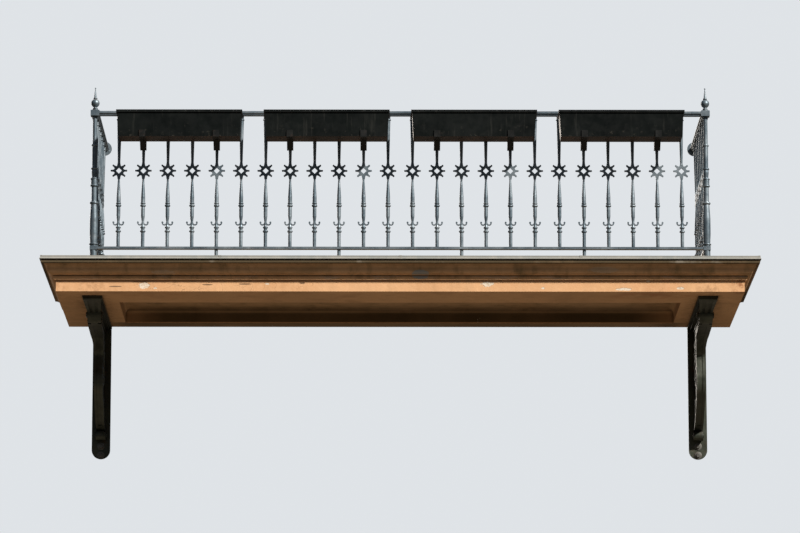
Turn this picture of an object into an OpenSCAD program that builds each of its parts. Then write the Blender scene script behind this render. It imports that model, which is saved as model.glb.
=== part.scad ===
// Wall balcony: a corniced masonry slab on two cast-iron scroll brackets, with a cast-iron railing
// and four troughs hung outside it. Millimetres. The wall is the plane y = 0, the front faces -Y and
// the origin is the middle of the slab's back face. Heights named *_h are measured above the deck.

/* [Slab] */
// Width of the slab at its fascia
slab_w = 4340; // [3900:10:5600]
// Depth of the slab from the wall to its fascia
slab_d = 1240; // [1080:5:1600]
// Height of the slab from the deck to the soffit
slab_h = 212; // [190:1:260]
// Radius of the two arcs of the cornice's double curve
cyma_r = 34; // [24:1:36]
// Radius of the quarter round over the fascia
ovolo_r = 18; // [10:1:20]
// Height of the flat fillet at the top of the cornice
fillet_h = 12; // [6:1:14]
// Thickness of the screed laid on the slab
screed_t = 24; // [18:1:30]

/* [Soffit panel] */
// Border between the fascia and the sunk panel, at the front and the sides
panel_border = 379; // [250:1:450]
// Border between the sunk panel and the wall
panel_back = 144; // [60:1:200]
// Depth of the panel, from the soffit to its field
panel_depth = 90; // [50:1:110]
// Radius of the cove round the panel's field
panel_cove = 36; // [10:1:48]

/* [Flashing] */
// Width of the sheet lying on the deck's edge
flashing_w = 150; // [60:5:200]
// Thickness of the sheet
flashing_t = 3; // [1:0.5:4]
// Height of the sheet's drop over the slab's edge
flashing_drop = 21; // [12:1:22]
// Width of the drip kicked out at the foot of the drop
drip_w = 5; // [2:1:8]

/* [Railing] */
// Distance from the slab's outer edge to the middle of the front rail
rail_setback = 300; // [200:5:400]
// Distance from the end of the slab to the middle of a corner post
post_inset = 220; // [180:5:300]
// Height of the handrail's top above the deck
rail_h = 1000; // [900:5:1150]
// Width of the handrail's cap
cap_w = 54; // [46:1:70]
// Height of the handrail's cap
cap_t = 22; // [18:1:30]
// Width of the flat bars under the cap and at the foot
bar_w = 40; // [38:1:44]
// Thickness of the flat bar under the cap
bar_t = 8; // [5:1:12]
// Thickness of the bottom rail
bottom_rail_t = 14; // [10:1:20]
// Height of the bottom rail's top above the deck
bottom_rail_h = 113; // [90:1:130]

/* [Balusters] */
// Number of balusters in the front
front_count = 24; // [16:8:32]
// Number of balusters in each side return
side_count = 6; // [3:1:7]
// Radius of the plain shaft at the foot
shaft_r = 11; // [9:0.5:13]
// Height of the pair of beads over the foot shaft
knob_h = 227; // [200:1:240]
// Height of the curled arms' crossing
arms_h = 272; // [268:1:290]
// Height of the collar under the long taper
collar_h = 388; // [370:1:400]
// Height of the star's middle
star_h = 610; // [580:1:640]
// Half width of the star across its level spikes
star_r = 51; // [46:1:60]
// Half diagonal of the star's diamond opening
star_hole = 20; // [14:1:22]
// Radius of the shaft under the handrail
top_r = 15; // [12:0.5:18]
// Height of the swelling at the top of that shaft
swell_h = 60; // [45:1:80]
// Thickness of the flat castings, the star and the arms
casting_t = 12; // [8:1:16]

/* [Posts] */
// Side of the square block that takes the handrails
die_w = 56; // [54:1:70]
// Side of the square block that takes the bottom rails
foot_die_w = 46; // [46:1:60]
// Radius of the post's lower part, at its fullest
post_r = 25; // [22:0.5:30]
// Radius of the foot plate
foot_r = 55; // [45:1:70]
// Height of the ring over the foot
post_base_h = 140; // [135:1:160]
// Height of the ring at the post's waist
post_waist_h = 400; // [340:1:420]
// Height of the drum over the waist
post_drum_h = 520; // [480:1:540]
// Height of the knop over the drum
post_knop_h = 620; // [600:1:660]
// Height of the ring under the head
post_head_h = 776; // [720:1:800]
// Height of the finial over the post
finial_h = 152; // [140:1:190]
// Radius of the finial's ball
ball_r = 27; // [20:1:30]

/* [Legs and wall plates] */
// Radius of a rail leg
leg_r = 11; // [8:0.5:14]
// Thickness of a leg's round foot
leg_foot_t = 6; // [4:1:10]
// Height of the cone over that foot
leg_cone_h = 20; // [12:1:30]
// Number of legs under the front rail
leg_count = 4; // [2:1:6]
// Thickness of the plates that hold the rails to the wall
wall_plate_t = 10; // [6:1:14]
// Radius of those plates
wall_plate_r = 46; // [40:1:55]

/* [Brackets] */
// Distance of a bracket's middle from the end of the slab
bracket_inset = 220; // [180:5:300]
// Reach of a bracket from the wall
bracket_reach = 1105; // [1000:5:1150]
// Height of a bracket from the soffit to its lowest point
bracket_drop = 880; // [840:5:1000]
// Width of the top plate
shelf_w = 124; // [112:1:140]
// Thickness of the top plate
shelf_t = 14; // [10:1:20]
// Width of the plate on the wall
plate_w = 120; // [100:1:130]
// Thickness of the plate on the wall
plate_t = 14; // [10:1:20]
// Thickness of the bracket's web
web_w = 42; // [30:1:48]
// Depth of the sunk panels on the web's sides
web_panel_t = 5; // [3:1:8]
// Width of the band at the upper scroll
rim_w = 86; // [76:1:96]
// Width of the band at the belly and the foot
foot_w = 56; // [50:1:70]
// Thickness of the band
rim_t = 14; // [10:1:18]
// Depth of the channel along the band's face
channel_t = 4; // [2:1:6]
// Radius of the upper scroll
scroll_r = 66; // [56:1:72]
// Distance of the upper scroll's middle from the wall
scroll_d = 835; // [760:5:870]
// Distance of the throat's face from the wall
throat_d = 350; // [300:1:370]
// Depth of the throat under the soffit
throat_h = 262; // [240:1:280]
// Greatest distance of the belly's face from the wall
belly_d = 390; // [360:1:410]
// Depth of the belly's fullest point under the soffit
belly_h = 400; // [380:1:420]
// Radius of the small scroll at the foot
foot_scroll_r = 38; // [32:1:42]
// Radius of the two bolt holes in the foot of the wall plate
bolt_r = 9; // [6:0.5:10]
// Distance between the two bolt holes
bolt_pitch = 60; // [50:1:60]

/* [Planters] */
// Length of a planter at its rim
planter_l = 800; // [700:5:880]
// Depth of a planter at its rim, front to back
planter_d = 190; // [160:1:210]
// Height of a planter
planter_h = 170; // [140:1:180]
// Draft of the planter's walls, each side
planter_draft = 15; // [5:1:20]
// Thickness of the planter's walls
planter_t = 4; // [3:0.5:6]
// Drop of the planter's rim below the handrail's top
planter_drop = 40; // [35:1:50]
// Height of the rolled rim
rim_roll = 16; // [10:1:24]
// Width of the rolled rim outside the walls
rim_out = 6; // [3:1:10]
// Radius of a drain hole
drain_r = 6; // [4:0.5:8]
// Width of a hook's strap
hook_w = 40; // [30:1:50]
// Thickness of the strap
hook_t = 4; // [3:0.5:5]
// Depth of the strap's foot under the planter
hook_foot = 50; // [40:1:60]

/* [Hidden] */
// Clearance between pieces that are laid together
clear = 0.3;
// Vertical places
deck_z = slab_h / 2;
soffit_z = -slab_h / 2;
core_z = deck_z - screed_t;
// The cornice, from the fascia's top upwards
quirk_h = 5;
neck_h = 8;
cornice_h = ovolo_r + 4 + quirk_h + 2 * cyma_r + fillet_h + neck_h;
cornice_out = ovolo_r + 2 * cyma_r + 6;
fascia_z = core_z - cornice_h;
edge_out = cornice_out + flashing_t;
slab_front = slab_d + edge_out;
slab_side = slab_w / 2 + edge_out;
// The railing
rail_y = slab_front - rail_setback;
post_x = slab_w / 2 - post_inset;
baluster_pitch = 2 * post_x / (front_count + 1);
side_pitch = rail_y / (side_count + 1);
rail_gap = post_x - die_w / 2;
foot_gap = post_x - foot_die_w / 2;
side_rail_l = rail_y - die_w / 2;
side_foot_l = rail_y - foot_die_w / 2;
cap_z = deck_z + rail_h - cap_t;
baluster_z = cap_z - bar_t;
baluster_foot = deck_z + bottom_rail_h;
// Front balusters are cast in four groups
group_count = front_count / 4;
// The planters hang on straps behind every third baluster
planter_pitch = baluster_pitch * group_count;
planter_back = rail_y + cap_w / 2 + hook_t + 2 * clear + 0.6;
planter_mid = planter_back + planter_d / 2;
planter_foot = deck_z + rail_h - planter_drop - planter_h;
// The brackets stand near the slab's ends
bracket_x = slab_w / 2 - bracket_inset;
// The scrolls' middles, from the soffit and from the wall
scroll_z = shelf_t + scroll_r - 4;
foot_scroll_z = bracket_drop - 150;
foot_scroll_d = plate_t + foot_scroll_r - 4;
// The upper shaft of a baluster, between the star and the swelling under the handrail
upper_foot_r = 8;
upper_foot_h = star_h + 40;
upper_top_h = baluster_z - deck_z - swell_h;
iron = [0.24, 0.28, 0.29];
cast = [0.16, 0.20, 0.19];
render = [0.87, 0.69, 0.51];

// Curves

function unit(v) = v / norm(v);
function normal_at(p, i) =
    let (t = unit(p[min(i + 1, len(p) - 1)] - p[max(i - 1, 0)])) [-t[1], t[0]];
function shifted(p, d) = [for (i = [0:len(p) - 1]) p[i] + d * normal_at(p, i)];
function reversed(p) = [for (i = [len(p) - 1:-1:0]) p[i]];
// Points along an arc of radius r about (x, y), from one angle to another
function arc(x, y, r, from, to, n) = [for (i = [0:n]) let (a = from + (to - from) * i / n)
    [x + r * cos(a), y + r * sin(a)]];
function between(a, b, c, d, t) = 0.5 * (2 * b + (c - a) * t + (2 * a - 5 * b + 4 * c - d) * t * t
    + (3 * b - a - 3 * c + d) * t * t * t);
// A smooth line through the points p, with n short chords from each to the next
function smooth(p, n) = [
    for (i = [0:len(p) - 2]) for (j = [0:n - 1])
        between(p[max(i - 1, 0)], p[i], p[i + 1], p[min(i + 2, len(p) - 1)], j / n),
    p[len(p) - 1]
];

// Extrusions: the outline's own axes become Y and Z, or X and Z

module along_x(l) {
    translate([-l / 2, 0, 0]) rotate([90, 0, 90]) linear_extrude(l) children();
}

module from_wall(l) {
    rotate([90, 0, 0]) linear_extrude(l) children();
}

module mirrored() {
    children();
    mirror([1, 0, 0]) children();
}

// Slab

// The cornice's section, outwards from the fascia's face and up from the fascia's top
module cornice_section() {
    cyma_foot = ovolo_r + 4 + quirk_h;
    square([ovolo_r - 5, cornice_h]);
    intersection() {
        translate([0, ovolo_r]) circle(ovolo_r, $fn = 48);
        square([ovolo_r, ovolo_r]);
    }
    translate([0, ovolo_r]) square([ovolo_r, 4]);
    translate([0, cyma_foot]) {
        intersection() {
            translate([ovolo_r, cyma_r]) circle(cyma_r, $fn = 48);
            square([ovolo_r + cyma_r, cyma_r]);
        }
        square([ovolo_r, 2 * cyma_r]);
        translate([0, cyma_r]) difference() {
            square([ovolo_r + 2 * cyma_r, cyma_r]);
            translate([ovolo_r + 2 * cyma_r, 0]) circle(cyma_r, $fn = 48);
        }
        translate([0, 2 * cyma_r]) square([cornice_out, fillet_h]);
        translate([0, 2 * cyma_r + fillet_h]) square([cornice_out - neck_h, neck_h]);
    }
}

module slab_core() {
    intersection() {
        along_x(2 * slab_side + 2) {
            translate([-slab_d, soffit_z]) square([slab_d, core_z - soffit_z]);
            translate([-slab_d, fascia_z]) mirror([1, 0]) cornice_section();
        }
        from_wall(slab_front + 1) {
            translate([-slab_w / 2, soffit_z]) square([slab_w, core_z - soffit_z]);
            mirrored() translate([slab_w / 2, fascia_z]) cornice_section();
        }
    }
}

// The sunk panel's section across a width w, with a cove in both upper corners
module panel_section(w) {
    side = w / 2 - panel_cove;
    top = soffit_z + panel_depth - panel_cove;
    polygon(concat([[-w / 2, soffit_z - 1], [w / 2, soffit_z - 1]], arc(side, top, panel_cove, 0, 90, 12),
        arc(-side, top, panel_cove, 90, 180, 12)));
}

module panel_cut() {
    d = slab_d - panel_border - panel_back;
    intersection() {
        along_x(slab_w) translate([-panel_back - d / 2, 0]) panel_section(d);
        from_wall(slab_d) panel_section(slab_w - 2 * panel_border);
    }
}

module slab() color(render) {
    difference() {
        slab_core();
        panel_cut();
    }
}

// The screed fills the flashing's edge and rises to the deck inside it
module deck_screed() color([0.62, 0.56, 0.50]) {
    inner_w = 2 * (slab_side - flashing_w);
    inner_d = slab_front - flashing_w;
    edge_w = 2 * (slab_side - flashing_t);
    translate([-edge_w / 2, -(slab_front - flashing_t), core_z])
        cube([edge_w, slab_front - flashing_t, screed_t - flashing_t]);
    translate([-inner_w / 2 + clear, -inner_d + clear, deck_z - flashing_t])
        cube([inner_w - 2 * clear, inner_d - clear, flashing_t]);
}

// Flashing

// The sheet's section, outwards from the slab's outer edge: its face is at 0 and the sheet lies
// behind it, with a drip kicked out at the foot
module flashing_section() {
    foot = deck_z - flashing_drop;
    polygon([
        [-flashing_w, deck_z], [0, deck_z], [0, foot + 2 * drip_w], [drip_w, foot + drip_w / 2],
        [drip_w, foot], [drip_w - flashing_t, foot], [-flashing_t, foot + 1.6 * drip_w],
        [-flashing_t, deck_z - flashing_t], [-flashing_w, deck_z - flashing_t]
    ]);
}

// The plan of the front sheet, cut to a mitre at both ends
module flashing_plan() {
    outer = 2 * drip_w;
    polygon([
        [-slab_side - outer, -slab_front - outer], [slab_side + outer, -slab_front - outer],
        [slab_side - flashing_w - outer, -slab_front + flashing_w + outer],
        [-slab_side + flashing_w + outer, -slab_front + flashing_w + outer]
    ]);
}

module flashing_front() color([0.62, 0.64, 0.60]) {
    intersection() {
        along_x(2 * (slab_side + drip_w)) translate([-slab_front, 0]) mirror([1, 0]) flashing_section();
        translate([0, 0, deck_z - slab_h]) linear_extrude(2 * slab_h) flashing_plan();
    }
}

module flashing_side() color([0.62, 0.64, 0.60]) {
    difference() {
        from_wall(slab_front + drip_w) translate([slab_side, 0]) flashing_section();
        translate([0, 0, deck_z - slab_h]) linear_extrude(2 * slab_h) flashing_plan();
    }
}

// Brackets: side views are taken from the soffit, and their first axis runs from the front to the wall

// The face of the band: from under the upper scroll back to the throat, out to the belly, and in over
// the foot scroll
function band_face() = let (
    under = scroll_z + scroll_r,
    inner_r = foot_scroll_r - rim_t
) smooth([
    [-scroll_d + 10, -under + 8], [-scroll_d + 80, -under - 1], [-throat_d - 180, -under - 20],
    [-throat_d - 70, -under - 58], [-throat_d - 8, -throat_h + 12],
    [-(throat_d + belly_d) / 2, -(throat_h + belly_h) / 2], [-belly_d, -belly_h],
    [-belly_d + 22, -belly_h - 90], [-belly_d * 0.70, -belly_h - 185], [-belly_d * 0.44, -foot_scroll_z + 72],
    [-foot_scroll_d + inner_r * cos(70), -foot_scroll_z + inner_r * sin(70)]
], 6);

// A band that rolls up: from radius r0 at angle a0 to radius r1 at angle a1, with its thickness
// falling from t0 to t1
module rolled_band(r0, r1, a0, a1, t0, t1) {
    steps = 60;
    function turn(i) = a0 + (a1 - a0) * i / steps;
    function radius(i) = r0 * pow(r1 / r0, pow(i / steps, 1.5));
    outer = [for (i = [0:steps]) radius(i) * [cos(turn(i)), sin(turn(i))]];
    inner = [for (i = [0:steps]) (radius(i) - t0 - (t1 - t0) * i / steps) * [cos(turn(i)), sin(turn(i))]];
    polygon(concat(outer, reversed(inner)));
}

module upper_scroll() {
    translate([0, -scroll_d, -scroll_z]) {
        along_x(rim_w) rolled_band(scroll_r, scroll_r * 0.32, 84, 84 + 590, rim_t, rim_t * 0.5);
        rotate([0, 90, 0]) {
            cylinder(r = scroll_r - rim_t / 2, h = web_w + 2, center = true, $fn = 64);
            cylinder(r = scroll_r * 0.30, h = rim_w + 14, center = true, $fn = 48);
            cylinder(r = scroll_r * 0.14, h = rim_w + 24, center = true, $fn = 32);
        }
    }
}

module foot_scroll() {
    translate([0, -foot_scroll_d, -foot_scroll_z]) {
        along_x(foot_w + 6)
            rolled_band(foot_scroll_r, foot_scroll_r * 0.36, 76, 76 - 560, rim_t, rim_t * 0.5);
        rotate([0, 90, 0]) {
            cylinder(r = foot_scroll_r - rim_t / 2, h = web_w + 2, center = true, $fn = 64);
            cylinder(r = foot_scroll_r * 0.32, h = foot_w + 16, center = true, $fn = 40);
        }
    }
}

// The band narrows from the upper scroll to the belly, and has a channel along its face
module band() {
    face = band_face();
    last = len(face) - 1;
    under = scroll_z + scroll_r;
    width = smooth([
        [rim_w / 2, 0], [rim_w / 2, -under], [(rim_w + foot_w) / 4, -under - 34], [foot_w / 2, -throat_h],
        [foot_w / 2, -belly_h], [foot_w / 2, -bracket_drop]
    ], 4);
    middle = [for (i = [4:last - 4]) face[i]];
    difference() {
        intersection() {
            along_x(rim_w) polygon(concat(face, reversed(shifted(face, rim_t))));
            from_wall(bracket_reach) polygon(concat(width, reversed([for (p = width) [-p[0], p[1]]])));
        }
        along_x(foot_w * 0.45) polygon(concat(shifted(middle, -9), reversed(shifted(middle, channel_t))));
    }
}

// The web's face lies half way into the band
module web_outline() {
    tip = -scroll_d - scroll_r + 6;
    face = shifted(band_face(), rim_t / 2);
    polygon(concat([[0, -shelf_t + 2], [tip, -shelf_t + 2], [tip, -scroll_z], [-scroll_d, -scroll_z]], face,
        [[0, -foot_scroll_z + foot_scroll_r]]));
}

// A sunk panel on each side of the web, a border in from the bands and the wall plate
module web_panel() {
    border = 14;
    face = band_face();
    edge = shifted([for (i = [9:len(face) - 9]) face[i]], rim_t + border);
    top = -shelf_t - rim_t - border;
    polygon(concat([[-plate_t - border, top], [edge[0][0], top]], edge,
        [[-plate_t - border, edge[len(edge) - 1][1]]]));
}

module web() {
    difference() {
        along_x(web_w) web_outline();
        for (side = [-0.5, 0.5])
            translate([side * web_w, 0, 0]) along_x(2 * web_panel_t) web_panel();
    }
}

module wall_plate_outline() {
    r = plate_w / 2;
    polygon(concat([[r, -shelf_t + 2]], arc(0, -bracket_drop + r, r, 0, -180, 24), [[-r, -shelf_t + 2]]));
}

// The leaf under the arm's end: its side view, lowered for the ribs
module leaf_side(lower) {
    root = -scroll_d - scroll_r + 12;
    tip = -bracket_reach + 12;
    steps = 12;
    rise = scroll_z - shelf_t - 16;
    under = [for (i = [0:steps]) let (t = i / steps)
        [root + (tip - root) * t, -scroll_z + 6 + rise * pow(t, 0.7) - lower * (1 - 0.7 * t)]];
    polygon(concat([[root, -shelf_t + 1]], under, [[tip, -shelf_t + 1]]));
}

// A strip of the leaf, seen from below, between two shares of its half width
module leaf_strip(from, to) {
    root = -scroll_d - scroll_r + 12;
    tip = -bracket_reach + 12;
    root_w = rim_w / 2;
    tip_w = shelf_w / 2 - 4;
    polygon([[from * root_w, root], [to * root_w, root], [to * tip_w, tip], [from * tip_w, tip]]);
}

module leaf(lower, from, to) {
    intersection() {
        along_x(shelf_w) leaf_side(lower);
        translate([0, 0, -scroll_z - 30]) linear_extrude(scroll_z + 30) leaf_strip(from, to);
    }
}

module bracket() color(cast) translate([0, 0, soffit_z]) {
    translate([-shelf_w / 2, -bracket_reach, -shelf_t]) cube([shelf_w, bracket_reach, shelf_t]);
    translate([0, -bracket_reach + 16, -shelf_t - 3]) rotate([0, 90, 0])
        cylinder(r = 11, h = shelf_w - 6, center = true, $fn = 32);
    leaf(0, -1, 1);
    for (rib = [[-0.94, -0.58], [-0.22, 0.22], [0.58, 0.94]])
        leaf(7, rib[0], rib[1]);
    // The arm's band under the top plate
    translate([-rim_w / 2, -scroll_d, -shelf_t - rim_t + 4]) cube([rim_w, scroll_d, rim_t]);
    upper_scroll();
    web();
    band();
    foot_scroll();
    difference() {
        from_wall(plate_t) wall_plate_outline();
        for (i = [-0.5, 0.5])
            translate([0, 1, -bracket_drop + 55 + i * bolt_pitch])
                rotate([90, 0, 0]) cylinder(r = bolt_r, h = plate_t + 2, $fn = 32);
    }
}

// Railing

// The handrail's section: a flat bar under a cap with rounded edges and a low crown
module handrail_section() {
    round_r = 5;
    crown = 6;
    half = concat(
        [[0, baluster_z], [bar_w / 2, baluster_z], [bar_w / 2, cap_z]],
        arc(cap_w / 2 - round_r, cap_z + round_r, round_r, -90, 0, 5),
        arc(cap_w / 2 - round_r, cap_z + cap_t - crown - round_r, round_r, 0, 60, 4),
        [[cap_w / 4, cap_z + cap_t - crown / 4], [0, cap_z + cap_t]]
    );
    polygon(concat(half, reversed([for (p = half) [-p[0], p[1]]])));
}

module bottom_rail_section() {
    translate([-bar_w / 2, baluster_foot - bottom_rail_t]) square([bar_w, bottom_rail_t]);
}

module handrail_front() color(iron) translate([0, -rail_y, 0]) along_x(2 * rail_gap) handrail_section();
module bottom_rail_front() color(iron) translate([0, -rail_y, 0]) along_x(2 * foot_gap) bottom_rail_section();

// A bar from the wall plate to the corner post's block
module side_bar(l) {
    translate([post_x, -wall_plate_t, 0]) from_wall(l - wall_plate_t) children();
}

module handrail_side() color(iron) side_bar(side_rail_l) handrail_section();
module bottom_rail_side() color(iron) side_bar(side_foot_l) bottom_rail_section();

// Radius of a baluster's upper shaft at a height above the deck
function upper_r(h) =
    upper_foot_r + (top_r - 1 - upper_foot_r) * (h - upper_foot_h) / (upper_top_h - upper_foot_h);

// Half the turned shaft's section: distance from the axis and height above the deck
module baluster_section() {
    foot = bottom_rail_h;
    top = baluster_z - deck_z;
    arm_foot = arms_h - 16;
    polygon([
        [0, foot], [shaft_r, foot], [shaft_r, knob_h + 18], [shaft_r - 3, arm_foot],
        [shaft_r - 3, arms_h + 10], [shaft_r + 1, arms_h + 40], [shaft_r + 1, collar_h - 30],
        [shaft_r, collar_h - 8],
        [shaft_r + 2, collar_h + 16], [shaft_r + 2, collar_h + 50], [shaft_r - 3, star_h - 90],
        [shaft_r - 6, star_h - 45], [0, star_h - 45]
    ]);
    polygon([
        [0, upper_foot_h], [upper_foot_r, upper_foot_h], [top_r - 1, upper_top_h], [top_r, top - 20],
        [top_r, top], [0, top]
    ]);
    translate([shaft_r, knob_h - 12]) circle(6.5, $fn = 24);
    translate([shaft_r, knob_h + 13]) circle(5.5, $fn = 24);
    translate([shaft_r, collar_h - 6]) circle(7, $fn = 24);
    translate([shaft_r, collar_h + 9]) circle(5, $fn = 24);
    translate([top_r, top - 28]) circle(4, $fn = 24);
}

// The open star, with a knobbed tip on each spike and barb
module star_outline() {
    barb = [star_r * 0.70, star_r * 0.66];
    quarter = [
        [8, 54], [11, 35], [15, 28], [barb[0] - 3, barb[1] + 2], [barb[0] + 2, barb[1] - 3], [27, 16],
        [32, 7], [star_r, 3]
    ];
    difference() {
        union() {
            polygon(concat(
                quarter, reversed([for (p = quarter) [p[0], -p[1]]]),
                [for (p = quarter) [-p[0], -p[1]]], reversed([for (p = quarter) [-p[0], p[1]]])
            ));
            for (sx = [-1, 1]) {
                translate([sx * (star_r - 3), 0]) circle(5, $fn = 20);
                for (sy = [-1, 1])
                    translate([sx * barb[0], sy * barb[1]]) circle(5.5, $fn = 20);
            }
        }
        polygon([[star_hole, 0], [0, star_hole], [-star_hole, 0], [0, -star_hole]]);
    }
}

// Two arms that leave the shaft and curl upwards, each with a ball at its end
module arms_outline() {
    curl_r = 17;
    bar = 7;
    mirrored() translate([curl_r + 2, curl_r - 6]) {
        intersection() {
            difference() {
                circle(curl_r, $fn = 40);
                circle(curl_r - bar, $fn = 40);
            }
            translate([-curl_r, -curl_r]) square([2 * curl_r, curl_r]);
        }
        translate([curl_r - bar / 2 - 1, 2]) circle(6, $fn = 20);
    }
}

module baluster() {
    translate([0, 0, deck_z]) {
        rotate_extrude($fn = 48) baluster_section();
        translate([0, casting_t / 2, 0]) rotate([90, 0, 0]) linear_extrude(casting_t) {
            translate([0, star_h]) star_outline();
            translate([0, arms_h - 12]) arms_outline();
        }
    }
}

module front_balusters(group) color(iron) {
    for (i = [0:group_count - 1])
        translate([-post_x + baluster_pitch * (group * group_count + i + 1), -rail_y, 0]) baluster();
}

module side_balusters() color(iron) {
    for (i = [1:side_count])
        translate([post_x, -side_pitch * i, 0]) rotate([0, 0, 90]) baluster();
}

// Half the corner post's section, above the deck
module post_section() {
    top = rail_h + 2;
    base = post_base_h;
    waist = post_waist_h;
    drum = post_drum_h;
    knop = post_knop_h;
    head = post_head_h;
    rings = [
        [post_r - 2, 34, 6], [post_r - 2, base - 8, 5], [post_r - 6, waist - 1, 8], [post_r - 7, drum - 8, 7],
        [post_r - 7, drum + 36, 6], [post_r - 9, knop + 3, 6], [post_r - 10, head, 6]
    ];
    polygon([
        [0, 0], [foot_r, 0], [foot_r, 10], [36, 10], [post_r + 4, 24], [post_r - 3, 34], [post_r - 3, base],
        [post_r, base + 60], [post_r, waist - 100], [post_r - 5, waist - 12], [post_r - 8, waist + 12],
        [post_r - 8, drum - 20], [post_r - 4, drum], [post_r - 4, drum + 28], [post_r - 10, drum + 46],
        [post_r - 7, knop - 20], [post_r - 10, knop + 12], [post_r - 9, head - 12], [post_r - 11, head + 10],
        [post_r - 11, top - 36], [post_r - 11, top - 4], [0, top - 4]
    ]);
    for (ring = rings)
        translate([ring[0], ring[1]]) circle(ring[2], $fn = 28);
}

module corner_post() color(iron) translate([post_x, -rail_y, deck_z]) {
    rotate_extrude($fn = 64) post_section();
    // Square blocks that take the bottom rails and the handrails
    translate([-foot_die_w / 2, -foot_die_w / 2, bottom_rail_h - bottom_rail_t - 6])
        cube([foot_die_w, foot_die_w, bottom_rail_t + 12]);
    translate([-die_w / 2, -die_w / 2, rail_h - cap_t - bar_t - 4]) cube([die_w, die_w, cap_t + bar_t + 6]);
}

module finial() color(iron) translate([post_x, -rail_y, deck_z + rail_h + 2]) {
    ball_z = 22 + ball_r;
    rotate_extrude($fn = 48) {
        polygon([
            [0, 0], [24, 0], [24, 5], [14, 9], [11, 20], [11, ball_z], [9, ball_z + ball_r],
            [9, ball_z + ball_r + 8], [2, finial_h - 5], [0, finial_h - 5]
        ]);
        translate([12, 14]) circle(4, $fn = 24);
        intersection() {
            translate([0, ball_z]) circle(ball_r, $fn = 64);
            translate([0, ball_z - ball_r]) square([ball_r, 2 * ball_r]);
        }
        translate([8, ball_z + ball_r + 4]) circle(5, $fn = 24);
        intersection() {
            translate([0, finial_h - 5]) circle(5, $fn = 24);
            translate([0, finial_h - 10]) square([5, 10]);
        }
    }
}

// Legs from the deck to the bottom rail, each under a baluster, at even distances
module rail_legs() color(iron) {
    leg_h = bottom_rail_h - bottom_rail_t;
    bay = (front_count + 1) / (leg_count + 1);
    for (i = [1:leg_count])
        translate([-post_x + baluster_pitch * round(i * bay), -rail_y, deck_z]) {
            cylinder(r = leg_r, h = leg_h, $fn = 32);
            cylinder(r = leg_r * 2.4, h = leg_foot_t, $fn = 32);
            cylinder(r1 = leg_r * 1.8, r2 = leg_r, h = leg_cone_h, $fn = 32);
        }
}

// Round plates on the wall, one behind the handrail and one behind the bottom rail
module wall_plates() color(iron) {
    for (z = [cap_z + cap_t / 2 - bar_t / 2, baluster_foot - bottom_rail_t / 2])
        translate([post_x, 0, z]) rotate([90, 0, 0]) cylinder(r = wall_plate_r, h = wall_plate_t, $fn = 64);
}

// Planters

// A box whose four sides lean in by the draft, from its rim down to its floor
module tapered_box(l, d, h, draft) {
    intersection() {
        translate([0, d / 2 + 1, 0]) rotate([90, 0, 0]) linear_extrude(d + 2)
            polygon([[-l / 2 + draft, 0], [l / 2 - draft, 0], [l / 2, h], [-l / 2, h]]);
        along_x(l + 2) polygon([[-d / 2 + draft, 0], [d / 2 - draft, 0], [d / 2, h], [-d / 2, h]]);
    }
}

module planter() {
    body_l = planter_l - 2 * rim_out;
    body_d = planter_d - 2 * rim_out;
    draft = planter_draft - rim_out;
    translate([0, -planter_mid, planter_foot]) difference() {
        union() {
            tapered_box(body_l, body_d, planter_h, draft);
            translate([-planter_l / 2, -planter_d / 2, planter_h - rim_roll])
                cube([planter_l, planter_d, rim_roll]);
        }
        translate([0, 0, planter_t])
            tapered_box(body_l - 2 * planter_t, body_d - 2 * planter_t, planter_h - planter_t + 0.01, draft);
        for (x = [-1.5:1:1.5])
            translate([x * body_l / 4, 0, -1]) cylinder(r = drain_r, h = planter_t + 2, $fn = 24);
    }
}

// A strap bent over the handrail, down behind the planter, and under it to a lip in front
module hook() {
    lip_h = 40;
    over = rail_y + cap_w / 2 + clear;
    lean = (planter_draft - rim_out) * lip_h / planter_h;
    under = planter_mid + planter_d / 2 - planter_draft + lean + clear;
    top = deck_z + rail_h + clear;
    foot = planter_foot - hook_foot;
    inner = rail_y - cap_w / 2 - clear;
    rest = rail_y + upper_r(foot + hook_t - deck_z) + clear;
    along_x(hook_w) {
        translate([-over - hook_t, top]) square([over - inner + 2 * hook_t, hook_t]);
        translate([-inner, top - cap_t - 6]) square([hook_t, cap_t + 6 + hook_t]);
        translate([-over - hook_t, foot]) square([hook_t, top - foot + hook_t]);
        translate([-over - hook_t, foot]) square([over + hook_t - rest, hook_t]);
        translate([-under - hook_t, planter_foot - hook_t]) square([under - over, hook_t]);
        translate([-under - hook_t, planter_foot - hook_t]) square([hook_t, lip_h + hook_t]);
        polygon([
            [-over - hook_t, planter_foot - hook_t], [-over - hook_t, foot], [-over - hook_t - 8, foot],
            [-over - hook_t - hook_foot - 8, planter_foot - hook_t]
        ]);
    }
}

module planter_at(i) color([0.12, 0.15, 0.15]) translate([(i - 1.5) * planter_pitch, 0, 0]) planter();

module hooks_at(i) color([0.14, 0.16, 0.16]) {
    for (side = [-1.5, 1.5])
        translate([(i - 1.5) * planter_pitch + side * baluster_pitch, 0, 0]) hook();
}

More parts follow.
